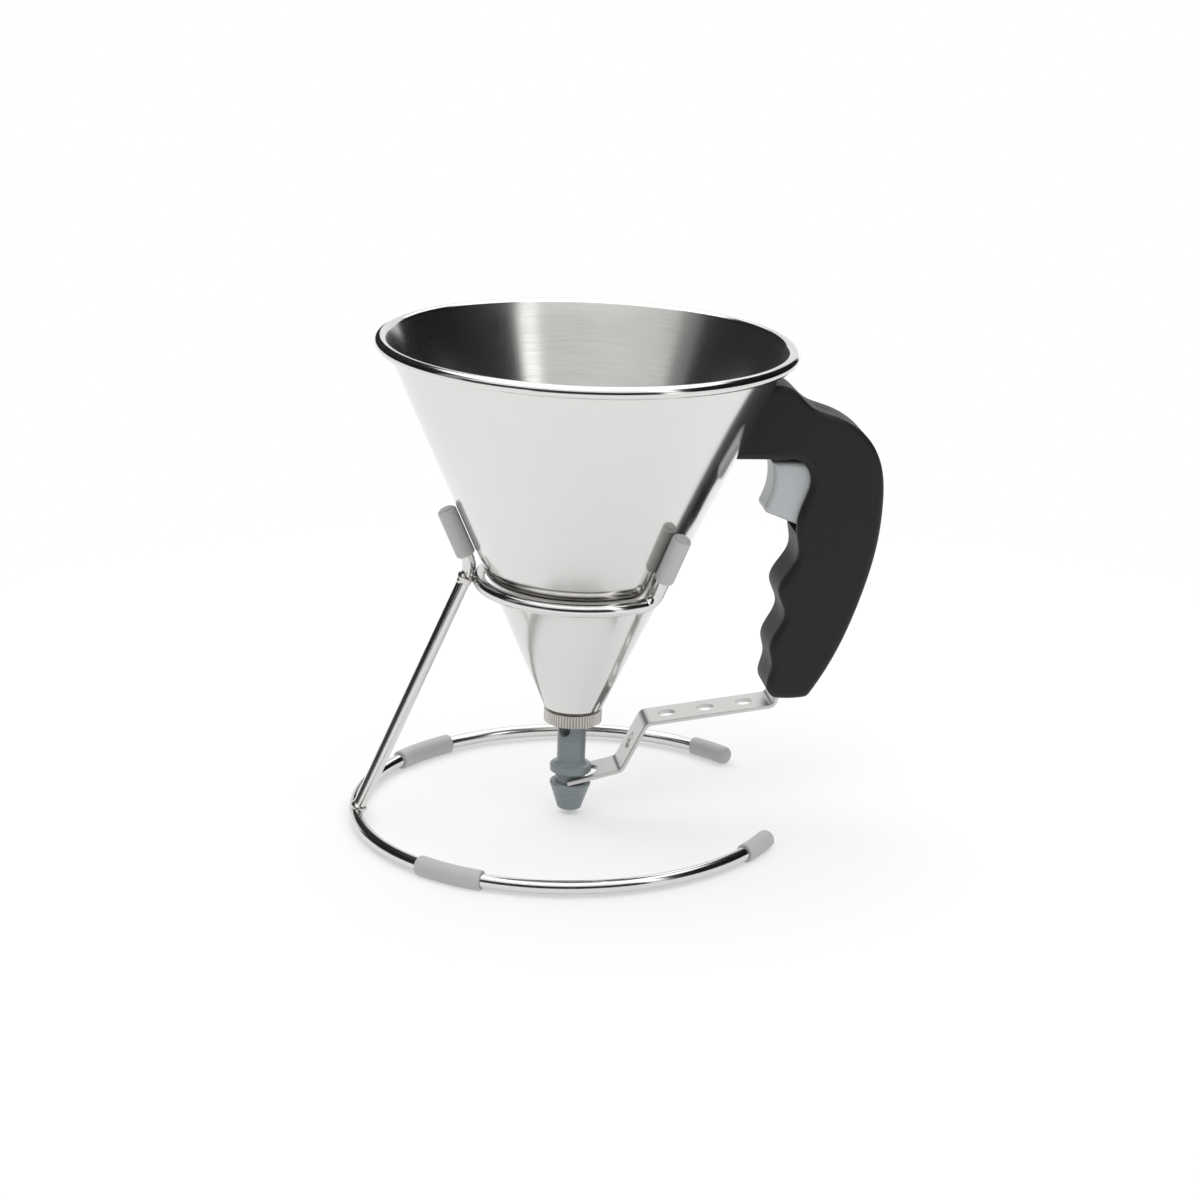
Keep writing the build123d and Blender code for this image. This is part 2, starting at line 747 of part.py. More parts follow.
# Weld beads where the leg meets the base ring and the support ring
leg_weld = ring_back + Vector(-leg_dir.Z, 0, leg_dir.X) * wire_r
foot_weld = leg_foot + leg_dir * wire_r
with BuildPart() as weld_beads:
    with Locations(leg_weld, foot_weld):
        Sphere(WELD_D / 2)
    add(base_ring.part, mode=Mode.SUBTRACT)
    add(support_ring.part, mode=Mode.SUBTRACT)
    add(leg.part, mode=Mode.SUBTRACT)


def prong_cap(turn):
    """Rubber cap on the prong at an angle from +X."""
    low = on_prong(turn, CAP_Z)
    cap_plane = Plane(low, z_dir=on_prong(turn, CAP_Z + 1) - low)
    cap_axis = Axis(cap_plane.origin, cap_plane.z_dir)
    with BuildPart() as cap:
        with BuildSketch(cap_plane):
            Circle(CAP_D / 2)
        extrude(amount=CAP_LEN)
        fillet(cap.edges().filter_by(GeomType.CIRCLE), CAP_EDGE_R)
        with BuildSketch(cap_plane.offset(CAP_LEN)):
            Circle(BUTTON_D / 2)
        extrude(amount=BUTTON_H)
        with BuildSketch(cap_plane):
            Circle(wire_r + SLIP_FIT)
        extrude(amount=CAP_LEN - CAP_END, mode=Mode.SUBTRACT)
    return cap


prong_cap_leg = prong_cap(180)
prong_cap_front = prong_cap(-PRONG_ANGLE)
prong_cap_rear = prong_cap(PRONG_ANGLE)

# Write each piece
pieces = {
    "base_ring": base_ring,
    "leg": leg,
    "support_ring": support_ring,
    "weld_beads": weld_beads,
    "prong_cap_leg": prong_cap_leg,
    "prong_cap_front": prong_cap_front,
    "prong_cap_rear": prong_cap_rear,
    "foot_sleeve_front": foot_sleeve_front,
    "foot_sleeve_rear": foot_sleeve_rear,
    "base_end_cap_front": base_end_cap_front,
    "base_end_cap_rear": base_end_cap_rear,
    "funnel_cone": funnel_cone,
    "outlet_ferrule": outlet_ferrule,
    "piston_seal": piston_seal,
    "handle_bracket": handle_bracket,
    "handle_shell_near": handle_shell_near,
    "handle_shell_far": handle_shell_far,
    "handle_screws": handle_screws,
    "lever_pin": lever_pin,
    "return_spring": return_spring,
    "knurled_ring": knurled_ring,
    "lever_arm": lever_arm,
    "trigger": trigger,
    "trigger_rivets": trigger_rivets,
    "piston": piston,
}
os.makedirs("parts", exist_ok=True)
for name, piece in pieces.items():
    piece.part.label = name
    export_step(piece.part, f"parts/{name}.step")
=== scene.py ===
"""Dresses the piston funnel in its wire stand: finishes, fine pieces, floor, light and camera."""

import json
import logging
import math
from dataclasses import dataclass
from enum import Enum
from typing import Any, Mapping, Optional, Sequence, Union

import bpy
import numpy as np
from mathutils import Matrix, Vector


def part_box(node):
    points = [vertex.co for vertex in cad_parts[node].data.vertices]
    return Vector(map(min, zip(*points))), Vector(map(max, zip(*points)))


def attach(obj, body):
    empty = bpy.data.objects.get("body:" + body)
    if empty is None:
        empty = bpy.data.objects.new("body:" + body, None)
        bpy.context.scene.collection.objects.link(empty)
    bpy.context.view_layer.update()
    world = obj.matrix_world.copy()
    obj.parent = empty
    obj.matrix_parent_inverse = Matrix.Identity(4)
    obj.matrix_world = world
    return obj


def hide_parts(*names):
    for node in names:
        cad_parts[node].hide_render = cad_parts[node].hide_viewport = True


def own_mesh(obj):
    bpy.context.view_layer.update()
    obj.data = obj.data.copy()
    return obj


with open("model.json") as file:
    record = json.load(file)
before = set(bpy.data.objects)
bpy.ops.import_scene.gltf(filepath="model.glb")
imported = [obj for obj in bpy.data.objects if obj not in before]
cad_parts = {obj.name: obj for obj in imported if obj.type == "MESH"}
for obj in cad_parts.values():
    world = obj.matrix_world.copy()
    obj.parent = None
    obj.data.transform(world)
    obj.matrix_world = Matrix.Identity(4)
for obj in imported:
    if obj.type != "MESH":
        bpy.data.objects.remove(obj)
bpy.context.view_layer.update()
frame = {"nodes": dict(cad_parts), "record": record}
# Height of the piston's mouth, where the outlet bore starts, along the funnel's axis, in metres
MOUTH_Z = 0.0021
log = logging.getLogger("funnel")

Operand = Union["Wire", float]
Pair = tuple[float, float]
Triple = tuple[float, float, float]


class Wire:
    """An output socket that takes part in Python expressions on values."""

    def __init__(self, graph: "Graph", socket: bpy.types.NodeSocket) -> None:
        """Keep the graph and the socket that the wire leaves from."""
        self.graph = graph
        self.socket = socket

    def __add__(self, other: Operand) -> "Wire":
        """Sum of two values."""
        return self.graph.maths("ADD", self, other)

    __radd__ = __add__

    def __mul__(self, other: Operand) -> "Wire":
        """Product of two values."""
        return self.graph.maths("MULTIPLY", self, other)

    __rmul__ = __mul__

    def __abs__(self) -> "Wire":
        """Size of a value without its sign."""
        return self.graph.maths("ABSOLUTE", self, 0.0)

    def weighed(self, other: "Wire", share: float) -> "Wire":
        """Mean with another value, where this one has the given share."""
        return self * share + other * (1 - share)

    def within(self, span: Pair) -> "Wire":
        """The range from 0 to 1 laid over a span."""
        return span[0] + (span[1] - span[0]) * self

    def smooth(self, low: float, high: float) -> "Wire":
        """Smooth step from 0 at the low value to 1 at the high one."""
        return self.graph.node(
            "ShaderNodeMapRange",
            {"interpolation_type": "SMOOTHSTEP"},
            {"Value": self, "From Min": low, "From Max": high},
        )


class Graph:
    """The node tree of one finish."""

    def __init__(self, tree: bpy.types.NodeTree) -> None:
        """Start from an empty tree."""
        self.tree = tree
        self.tree.nodes.clear()

    def node(
        self,
        kind: str,
        settings: Optional[Mapping[str, Any]] = None,
        inputs: Optional[Mapping[Union[str, int], Any]] = None,
        out: Union[str, int] = 0,
    ) -> Wire:
        """Add any node.

        Args:
            kind: the node's type.
            settings: its own settings, set first.
            inputs: values or wires of its sockets, by name or number.
            out: the output to hand on.

        Returns:
            The wire that leaves the chosen output.
        """
        made = self.tree.nodes.new(kind)
        for key, value in (settings or {}).items():
            setattr(made, key, value)
        for key, value in (inputs or {}).items():
            if isinstance(value, Wire):
                self.tree.links.new(value.socket, made.inputs[key])
            else:
                made.inputs[key].default_value = value
        return Wire(self, made.outputs[out])

    def maths(self, operation: str, a: Operand, b: Operand) -> Wire:
        """One Math node on two values."""
        return self.node("ShaderNodeMath", {"operation": operation}, {0: a, 1: b})

    def vectors(self, operation: str, a: Wire, b: Any = (0, 0, 0), out: str = "Vector") -> Wire:
        """One Vector Math node on two vectors."""
        return self.node("ShaderNodeVectorMath", {"operation": operation}, {0: a, 1: b}, out)

    def mix(self, factor: Wire, first: Triple, second: Triple) -> Wire:
        """Blend two colours, with the factor as the share of the second."""
        ends = {0: factor, 6: (*first, 1.0), 7: (*second, 1.0)}
        return self.node("ShaderNodeMix", {"data_type": "RGBA"}, ends, 2)

    def place(self, origin: Sequence[float] = (0, 0, 0), lean: float = 0.0) -> Wire:
        """Object coordinates measured from an origin, on axes turned about Y.

        Args:
            origin: the new zero, in metres.
            lean: turn of the axes about Y, in radians.

        Returns:
            The position in that frame.
        """
        here = self.node("ShaderNodeTexCoord", out="Object")
        return self.node(
            "ShaderNodeMapping",
            {"vector_type": "TEXTURE"},
            {"Vector": here, "Location": tuple(origin), "Rotation": (0, lean, 0)},
        )

    def noise(self, place: Wire, scale: float, detail: float = 3.0, rough: float = 0.5) -> Wire:
        """Fractal noise between 0 and 1.

        Args:
            place: position that the noise reads.
            scale: cells per metre.
            detail: octaves.
            rough: share of each finer octave.

        Returns:
            The noise value.
        """
        values = {"Vector": place, "Scale": scale, "Detail": detail, "Roughness": rough}
        return self.node("ShaderNodeTexNoise", {}, values, "Fac")

    def hoops(self, place: Wire, pitch: float, drift: float) -> Wire:
        """Lines that run round the local Z axis, as a lathe or a polishing wheel leaves them.

        The noise reads the height divided by the pitch, and the direction round the axis times
        a small drift, so that a line slowly fades in and out on its way round.

        Args:
            place: position in the frame of the axis.
            pitch: height of one line, in metres.
            drift: how fast lines change on their way round.

        Returns:
            The line value between 0 and 1.
        """
        flat = self.vectors("MULTIPLY", place, (1, 1, 0))
        around = self.vectors("MULTIPLY", self.vectors("NORMALIZE", flat), (drift, drift, 0))
        height = self.vectors("MULTIPLY", place, (0, 0, 1 / pitch))
        return self.noise(self.vectors("ADD", around, height), scale=1.0, detail=4.0, rough=0.65)

    def bump(self, height: Wire, depth: float, under: Optional[Wire] = None) -> Wire:
        """Surface relief.

        Args:
            height: relief between 0 and 1.
            depth: its full depth, in metres.
            under: a coarser relief below it.

        Returns:
            The bent normal.
        """
        inputs = {"Height": height, "Distance": depth, "Strength": 1.0}
        if under is not None:
            inputs["Normal"] = under
        return self.node("ShaderNodeBump", {}, inputs)

    def close(self, shader: Wire, kind: str = "ShaderNodeOutputMaterial") -> None:
        """Send a shader to the tree's output."""
        target = self.tree.nodes.new(kind)
        self.tree.links.new(shader.socket, target.inputs["Surface"])


def tinted(colour: Triple, factor: float) -> Triple:
    """A colour made lighter or darker, up to white."""
    return tuple(min(1.0, channel * factor) for channel in colour)


@dataclass(frozen=True)
class Finish:
    """A surface finish with a name."""

    name: str

    def shade(self, graph: Graph) -> None:
        """Fill the graph with this finish."""
        raise NotImplementedError

    def material(self) -> bpy.types.Material:
        """Make a material of the finish.

        Returns:
            The new material.
        """
        made = bpy.data.materials.new(self.name)
        made.use_nodes = True
        self.shade(Graph(made.node_tree))
        return made


@dataclass(frozen=True, kw_only=True)
class MottledFinish(Finish):
    """A finish whose haze and colour follow a fine pattern and a soft mottling."""

    colour: Triple
    haze: Pair
    depth: float
    shades: Pair
    mottle: float
    haze_share: float
    tint_share: float

    def lay(
        self,
        graph: Graph,
        fine: Wire,
        cloud: Wire,
        fixed: Mapping[str, float],
        under: Optional[Wire] = None,
    ) -> None:
        """Close the tree with a surface that follows the pattern and the mottling.

        Args:
            graph: the tree to fill.
            fine: the fine pattern, which is also the relief.
            cloud: the soft mottling.
            fixed: values that are the same all over.
            under: a coarser relief below the fine one.
        """
        first, second = (tinted(self.colour, shade) for shade in self.shades)
        tint = graph.mix(fine.weighed(cloud, self.tint_share), first, second)
        rough = fine.weighed(cloud, self.haze_share).within(self.haze)
        normal = graph.bump(fine, self.depth, under)
        varying = {"Base Color": tint, "Roughness": rough, "Normal": normal}
        graph.close(graph.node("ShaderNodeBsdfPrincipled", {}, {**fixed, **varying}))


@dataclass(frozen=True, kw_only=True)
class PolishedSteel(MottledFinish):
    """Wheel-polished stainless steel, with faint lines round an axis."""

    pitch: float
    axis: "Lean"
    drift: float = 1.6
    spread: float = 0.0
    spread_turn: float = 0.25
    shades: Pair = (1.0, 0.93)
    mottle: float = 35.0
    haze_share: float = 0.6
    tint_share: float = 0.5

    def shade(self, graph: Graph) -> None:
        """Lay the polishing lines round the axis.

        Args:
            graph: the tree to fill.
        """
        place = graph.place(self.axis.origin, self.axis.angle)
        lines = graph.hoops(place, self.pitch, self.drift)
        gloss = {"Anisotropic": self.spread, "Anisotropic Rotation": self.spread_turn}
        self.lay(graph, lines, graph.noise(place, self.mottle), {"Metallic": 1.0, **gloss})


@dataclass(frozen=True, kw_only=True)
class DrawnSteel(MottledFinish):
    """Drawn or rolled steel with short scratches along one direction."""

    stretch: Triple
    shades: Pair = (1.0, 0.88)
    mottle: float = 60.0
    haze_share: float = 0.7
    tint_share: float = 0.6

    def shade(self, graph: Graph) -> None:
        """Stretch a fine noise along the drawing direction.

        Args:
            graph: the tree to fill.
        """
        place = graph.place()
        along = graph.vectors("MULTIPLY", place, self.stretch)
        grain = graph.noise(along, scale=1.0, detail=4.0, rough=0.6)
        self.lay(graph, grain, graph.noise(place, self.mottle), {"Metallic": 1.0})


@dataclass(frozen=True, kw_only=True)
class GrainedPlastic(MottledFinish):
    """Moulded plastic or rubber with a fine grain, and a parting line where it has a seam."""

    grain: float
    specular: float = 0.5
    seam: float = 0.0
    shades: Pair = (0.86, 1.18)
    mottle: float = 45.0
    haze_share: float = 0.5
    tint_share: float = 0.4

    def shade(self, graph: Graph) -> None:
        """Pebble the surface finely and groove a seam at y = 0.

        Args:
            graph: the tree to fill.
        """
        place = graph.place()
        pebble = graph.noise(place, 1 / self.grain, detail=2.0, rough=0.6)
        cloud = graph.noise(place, self.mottle, detail=4.0)
        groove = None
        if self.seam > 0:
            sideways = abs(graph.node("ShaderNodeSeparateXYZ", {}, {0: place}, "Y"))
            groove = graph.bump(sideways.smooth(0.0, self.seam), self.seam)
        self.lay(graph, pebble, cloud, {"Specular IOR Level": self.specular}, groove)


@dataclass(frozen=True, kw_only=True)
class TurnedPlastic(MottledFinish):
    """Turned plastic with fine tool lines round an axis."""

    pitch: float
    axis: "Lean"
    drift: float = 0.8
    shades: Pair = (0.9, 1.12)
    mottle: float = 90.0
    haze_share: float = 0.6
    tint_share: float = 0.4

    def shade(self, graph: Graph) -> None:
        """Lay tool lines round the axis.

        Args:
            graph: the tree to fill.
        """
        place = graph.place(self.axis.origin, self.axis.angle)
        lines = graph.hoops(place, self.pitch, self.drift)
        cloud = graph.noise(place, self.mottle, detail=4.0)
        self.lay(graph, lines, cloud, {})


@dataclass(frozen=True)
class PaleFloor(Finish):
    """White floor that brightens to an even white away from the object, with faint patches of painted
    shade.
    """

    colour: Triple
    near: float
    far: float
    glow: float
    least: float
    mottle: float = 3.0
    # painted shade: factor for the faint darker patches that the noise lays on the floor
    painted_shade: float = 0.985

    def shade(self, graph: Graph) -> None:
        """Blend a matt white into an even glow with the distance from the middle.

        Args:
            graph: the tree to fill.
        """
        place = graph.place()
        reach = graph.vectors("LENGTH", place, out="Value")
        cloud = graph.noise(place, self.mottle, detail=2.0)
        # painted shade: the noise darkens the floor's colour in faint patches
        tint = graph.mix(cloud, self.colour, tinted(self.colour, self.painted_shade))
        matt = graph.node("ShaderNodeBsdfDiffuse", {}, {"Color": tint})
        white = {"Color": (1.0, 1.0, 1.0, 1.0), "Strength": self.glow}
        even = graph.node("ShaderNodeEmission", {}, white)
        share = reach.smooth(self.near, self.far).within((self.least, 1.0))
        graph.close(graph.node("ShaderNodeMixShader", {}, {0: share, 1: matt, 2: even}))


@dataclass(frozen=True)
class PlainCard(Finish):
    """Matt card that only reflections see."""

    grey: float

    def shade(self, graph: Graph) -> None:
        """A matt grey."""
        colour = (self.grey, self.grey, self.grey, 1.0)
        graph.close(graph.node("ShaderNodeBsdfDiffuse", {}, {"Color": colour}))


@dataclass(frozen=True)
class Lean:
    """The funnel's own frame: its axis leans a little toward the handle."""

    tip: Vector
    axis: Vector

    @classmethod
    def from_record(cls, record: Mapping[str, Any]) -> "Lean":
        """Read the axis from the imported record's outlet bore."""
        bore = next(mount for mount in record["mounts"] if mount["name"] == "outlet_bore")
        return cls(Vector(bore["pos_m"]), -Vector(bore["axis"]))

    @property
    def origin(self) -> Vector:
        """The axis at height zero."""
        return self.tip - self.axis * MOUTH_Z

    def at(self, height: float) -> Vector:
        """The axis at a height along it."""
        return self.origin + self.axis * height

    @property
    def angle(self) -> float:
        """Turn of the axis about Y, in radians."""
        return math.atan2(self.axis.x, self.axis.z)

    def world(self, points: np.ndarray) -> np.ndarray:
        """Turn and move points from the funnel's frame into the shared one.

        Args:
            points: positions, the last axis holding x, y and z.

        Returns:
            The positions in the shared frame.
        """
        lean = self.angle
        turn = np.array(
            [
                [math.cos(lean), 0.0, math.sin(lean)],
                [0.0, 1.0, 0.0],
                [-math.sin(lean), 0.0, math.cos(lean)],
            ]
        )
        return points @ turn.T + np.array(self.origin)


def linked(name: str, data: bpy.types.ID) -> bpy.types.Object:
    """New object in the scene.

    Args:
        name: its name.
        data: its mesh, light or lens.

    Returns:
        The object.
    """
    made = bpy.data.objects.new(name, data)
    bpy.context.scene.collection.objects.link(made)
    return made


class Surface:
    """Meshes from grids of points."""

    @staticmethod
    def closed_hoops(
        name: str, grid: np.ndarray, creases: Sequence[int], skins: Optional[np.ndarray] = None
    ) -> bpy.types.Object:
        """Mesh of a profile carried round a ring, closed both ways.

        Row i of the grid is one hoop, and the last hoop joins the first.

        Args:
            name: the piece's name.
            grid: points as rows of hoops, shape (hoops, steps, 3).
            creases: hoops whose edges stay sharp.
            skins: material number of the band after each hoop.

        Returns:
            The linked object.
        """
        rows, steps, _ = grid.shape
        piece = Surface._smooth(name, grid.reshape(-1, 3), Surface._quads(rows, rows, steps))
        if skins is not None:
            numbers = np.repeat(skins, steps).astype(np.int32)
            piece.data.polygons.foreach_set("material_index", numbers)
        Surface._sharpen(piece.data, steps, creases)
        return piece

    @staticmethod
    def capped_hoops(name: str, grid: np.ndarray, creases: Sequence[int] = ()) -> bpy.types.Object:
        """Mesh of a row of hoops, drawn together to a pole at both ends.

        The first and the last row of the grid become one point each, in their own middle. The
        rows between are hoops, joined by quads, and a fan of triangles closes each end.

        Args:
            name: the piece's name.
            grid: points as rows of hoops, shape (hoops, steps, 3).
            creases: hoops between the poles, counted from 0, whose edges stay sharp.

        Returns:
            The linked object.
        """
        rows, steps, _ = grid.shape
        hoops = rows - 2
        quads = Surface._quads(hoops - 1, hoops, steps)
        here = np.arange(steps)
        after = (here + 1) % steps
        last = (hoops - 1) * steps
        pole = np.full(steps, hoops * steps)
        start = np.stack([pole, after, here], axis=-1)
        end = np.stack([last + here, last + after, pole + 1], axis=-1)
        points = np.concatenate([grid[1:-1].reshape(-1, 3), grid[[0, -1]].mean(axis=1)])
        piece = Surface._smooth(name, points, quads + start.tolist() + end.tolist())
        Surface._sharpen(piece.data, steps, creases)
        return piece

    @staticmethod
    def _quads(bands: int, rows: int, steps: int) -> list[list[int]]:
        """Quads of the bands between hoops.

        Each quad takes the corners (i, j), (i, j + 1), (i + 1, j + 1) and (i + 1, j), counted
        round both ways.

        Args:
            bands: how many bands are closed.
            rows: how many hoops there are.
            steps: points on each hoop.

        Returns:
            Corner numbers of each quad.
        """
        i, j = np.meshgrid(np.arange(bands), np.arange(steps), indexing="ij")
        here, there, along = i * steps, (i + 1) % rows * steps, (j + 1) % steps
        corners = [here + j, here + along, there + along, there + j]
        return np.stack(corners, axis=-1).reshape(-1, 4).tolist()

    @staticmethod
    def _smooth(name: str, points: np.ndarray, faces: Sequence[Sequence[int]]) -> bpy.types.Object:
        """Smooth mesh object in the scene.

        Args:
            name: the piece's name.
            points: positions, shape (count, 3).
            faces: corner numbers of each face.

        Returns:
            The linked object.
        """
        mesh = bpy.data.meshes.new(name)
        mesh.from_pydata(points, [], faces)
        mesh.polygons.foreach_set("use_smooth", np.ones(len(faces), dtype=bool))
        mesh.update()
        return linked(name, mesh)

    @staticmethod
    def _sharpen(mesh: bpy.types.Mesh, steps: int, creases: Sequence[int]) -> None:
        """Mark the edges that run along some hoops as sharp.

        Args:
            mesh: the mesh of hoops.
            steps: points on each hoop.
            creases: the hoops, counted from 0.
        """
        ends = np.empty(len(mesh.edges) * 2, dtype=np.int32)
        mesh.edges.foreach_get("vertices", ends)
        hoops = ends.reshape(-1, 2) // steps
        sharp = (hoops[:, 0] == hoops[:, 1]) & np.isin(hoops[:, 0], creases)
        mesh.edges.foreach_set("use_edge_sharp", sharp)


def seat(piece: bpy.types.Object, body: str, node: str) -> bpy.types.Object:
    """Let a new piece ride on a body, stand for a node and be reported.

    Args:
        piece: the new piece.
        body: the body that it moves with.
        node: the CAD node that it stands for.

    Returns:
        The piece.
    """
    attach(piece, body)
    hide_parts(node)
    log.info("%s: %d points", piece.name, len(piece.data.vertices))
    return piece


def coat(
    finish: Finish,
    nodes: Sequence[str] = (),
    pieces: Sequence[bpy.types.Object] = (),
) -> None:
    """Give CAD nodes and new pieces one finish.

    Args:
        finish: what they get.
        nodes: names of the nodes.
        pieces: the new pieces.
    """
    material = finish.material()
    for name in nodes:
        skins = frame["nodes"][name].data.materials
        skins.clear()
        skins.append(material)
        log.info("%s: %s", name, finish.name)
    for piece in pieces:
        piece.data.materials.append(material)
        log.info("%s: %s", piece.name, finish.name)


@dataclass
class FunnelCone:
    """Spun cone with a rolled rim: polished outside, turned inside."""

    lean: Lean
    rim_d: float = 0.150
    bead_d: float = 0.0044
    half_angle: float = math.radians(24.35)
    wall: float = 0.001
    outlet_d: float = 0.0216
    outlet_z: float = 0.0422
    steps: int = 360
    wall_rows: int = 24
    bead_rows: int = 44

    def profile(self) -> tuple[np.ndarray, list[int], np.ndarray]:
        """Section of the cone as radii and heights.

        The outside runs straight up from the outlet and meets the rolled bead, which is an arc
        round its own middle. The arc turns over the top into the inside, which it touches
        smoothly and which runs straight down again.

        Returns:
            The section's points, the numbers of its sharp corners, and the skin of each band.
        """
        slope = math.tan(self.half_angle)
        skew = math.cos(self.half_angle)
        run = self.wall / skew
        bead_r = self.bead_d / 2
        bead_x = self.rim_d / 2 - bead_r
        rim_z = self.outlet_z + (bead_x - bead_r / skew + run - self.outlet_d / 2) / slope
        middle = np.array([bead_x, rim_z])
        foot = np.array([self.outlet_d / 2, self.outlet_z])
        tuck = bead_r - self.wall
        meet = math.pi - self.half_angle
        start = meet + math.acos(tuck / bead_r) - 2 * math.pi
        turn = np.linspace(start, meet, self.bead_rows)
        bead = middle + bead_r * np.stack([np.cos(turn), np.sin(turn)], axis=-1)
        up = np.linspace(foot, bead[0], self.wall_rows)[:-1]
        down = np.linspace(bead[-1], foot - np.array([run, 0.0]), self.wall_rows)[1:]
        points = np.concatenate([up, bead, down])
        corners = [0, len(up), len(points) - 1]
        skins = np.zeros(len(points), dtype=np.int32)
        skins[len(up) + len(bead) - 1:] = 1
        return points, corners, skins

    def build(self) -> bpy.types.Object:
        """Carry the section round the axis.

        A section point (r, z) goes to (r cos t, r sin t, z) for t round the whole turn.

        Returns:
            The cone, standing for its plain solid.
        """
        section, corners, skins = self.profile()
        turn = np.linspace(0.0, 2 * math.pi, self.steps, endpoint=False)
        ring = np.stack([np.cos(turn), np.sin(turn), np.zeros_like(turn)], axis=-1)
        grid = section[:, None, :1] * ring[None]
        grid[..., 2] = section[:, 1:]
        cone = Surface.closed_hoops("spun_cone", self.lean.world(grid), corners, skins)
        seat(cone, "funnel", "funnel_cone")
        return cone

    def dress(self, cone: bpy.types.Object) -> None:
        """Give the cone its two skins.

        Args:
            cone: the built cone.
        """
        outside = PolishedSteel(
            "polished_outside",
            colour=(0.745, 0.738, 0.725), haze=(0.1, 0.17), pitch=0.0004, depth=0.0000015,
            axis=self.lean,
        )
        inside = PolishedSteel(
            "turned_inside",
            colour=(0.7, 0.69, 0.67), haze=(0.14, 0.3), pitch=0.0003, depth=0.000006,
            axis=self.lean, spread=0.6, shades=(1.0, 0.5), drift=4.5,
        )
        for skin in (outside, inside):
            cone.data.materials.append(skin.material())
            log.info("%s: %s", cone.name, skin.name)


class End(Enum):
    """The two ends of the base ring, on the viewer's side and behind."""

    FRONT = -1
    REAR = 1


@dataclass
class Stand:
    """Bent-wire stand with its rubber caps, sleeves and weld beads."""

    base_r: float = 0.0786
    base_z: float = 0.0034
    wire_r: float = 0.0025
    fit: float = 0.00005
    sleeve_r: float = 0.0036
    sleeve_angle: float = math.radians(129.0)
    sleeve_span: float = math.radians(19.0)
    sleeve_edge: float = 0.0005
    opening: float = math.radians(31.8)
    cap_len: float = 0.0175
    cap_end: float = 0.0025
    cap_edge: float = 0.0004
    cap_tip: float = 0.002
    weld_r: float = 0.0030
    weld_lumps: float = 0.08
    weld_rows: int = 30
    weld_phases: Pair = (0.4, 2.1)
    leg_lean: float = math.radians(24.81)
    ring_touch: float = 0.0974
    steps: int = 48
    sleeve_rows: int = 20
    cap_rows: int = 14
    wires: tuple[str, ...] = ("base_ring", "leg", "support_ring")
    caps: tuple[str, ...] = ("prong_cap_leg", "prong_cap_front", "prong_cap_rear")

    @property
    def centre_x(self) -> float:
        """Where the base ring's axis stands, from the ring's own box."""
        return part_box("base_ring")[0][0] + self.base_r + self.wire_r

    def tube(self, turns: np.ndarray, radii: np.ndarray, hand: int) -> np.ndarray:
        """Hoops round the base ring's middle line.

        Hoop i stands round the point (x + R cos a, R sin a, h) of the base circle at the turn a.
        Its points are r_i cos v outward and hand r_i sin v upward from there, for v round the
        whole turn. What would lie under the table is pressed flat on it.

        Args:
            turns: angle of each hoop round the base.
            radii: radius of each hoop.
            hand: 1 or -1, the way round that turns the faces outward.

        Returns:
            The grid of points.
        """
        v = np.linspace(0.0, 2 * math.pi, self.steps, endpoint=False)
        out = self.base_r + radii[:, None] * np.cos(v)
        up = self.base_z + hand * radii[:, None] * np.sin(v)
        x = self.centre_x + out * np.cos(turns)[:, None]
        y = out * np.sin(turns)[:, None]
        return np.stack([x, y, np.maximum(up, 0.0)], axis=-1)

    @staticmethod
    def rounding(edge: float, radius: float, rows: int = 7) -> np.ndarray:
        """Quarter arc from an end face to the outside, as (distance from the face, radius)."""
        q = np.linspace(0.0, math.pi / 2, rows)
        return np.stack([edge * (1 - np.cos(q)), radius - edge * (1 - np.sin(q))], axis=-1)

    def sleeve(self, end: End) -> bpy.types.Object:
        """Rubber sleeve under the base ring.

        Its section runs over one rounded end, along the outside, over the other end and back
        through the bore.

        Args:
            end: the viewer's side or the far side.

        Returns:
            The sleeve, standing for its plain solid.
        """
        length = self.sleeve_span * self.base_r
        first = self.rounding(self.sleeve_edge, self.sleeve_r)
        last = first[::-1] * (-1.0, 1.0) + (length, 0.0)
        middle = np.linspace(first[-1], last[0], self.sleeve_rows)[1:-1]
        bore_r = self.wire_r + self.fit
        bore = np.linspace((length, bore_r), (0.0, bore_r), self.sleeve_rows)
        section = np.concatenate([first, middle, last, bore])
        start = end.value * self.sleeve_angle - self.sleeve_span / 2
        grid = self.tube(start + section[:, 0] / self.base_r, section[:, 1], -1)
        creases = [len(section) - len(bore), len(section) - 1]
        name = end.name.lower()
        sleeve = Surface.closed_hoops(f"rubber_sleeve_{name}", grid, creases)
        return seat(sleeve, "stand", f"foot_sleeve_{name}")

    def end_cap(self, end: End) -> bpy.types.Object:
        """Rubber cap on an end of the base ring.

        Its section starts at the bottom of the blind bore, comes out along the bore, turns over
        the rounded edge and runs along the outside to the rounded tip.

        Args:
            end: the viewer's side or the far side.

        Returns:
            The cap, standing for its plain solid.
        """
        bore_r = self.wire_r + self.fit
        blind = self.cap_len - self.cap_end
        bottom = np.array([(blind, 0.0)])
        bore = np.linspace((blind, bore_r), (0.0, bore_r), self.cap_rows)
        edge = self.rounding(self.cap_edge, self.base_z)
        tip = self.rounding(self.cap_tip, self.base_z)[::-1] * (-1.0, 1.0) + (self.cap_len, 0.0)
        middle = np.linspace(edge[-1], tip[0], self.cap_rows)[1:-1]
        point = np.array([(self.cap_len, 0.0)])
        section = np.concatenate([bottom, bore, edge, middle, tip, point])
        turns = end.value * (self.opening + (self.cap_len - section[:, 0]) / self.base_r)
        grid = self.tube(turns, section[:, 1], end.value)
        name = end.name.lower()
        cap = Surface.capped_hoops(f"rubber_end_{name}", grid, [0, len(bore) - 1])
        return seat(cap, "stand", f"base_end_cap_{name}")

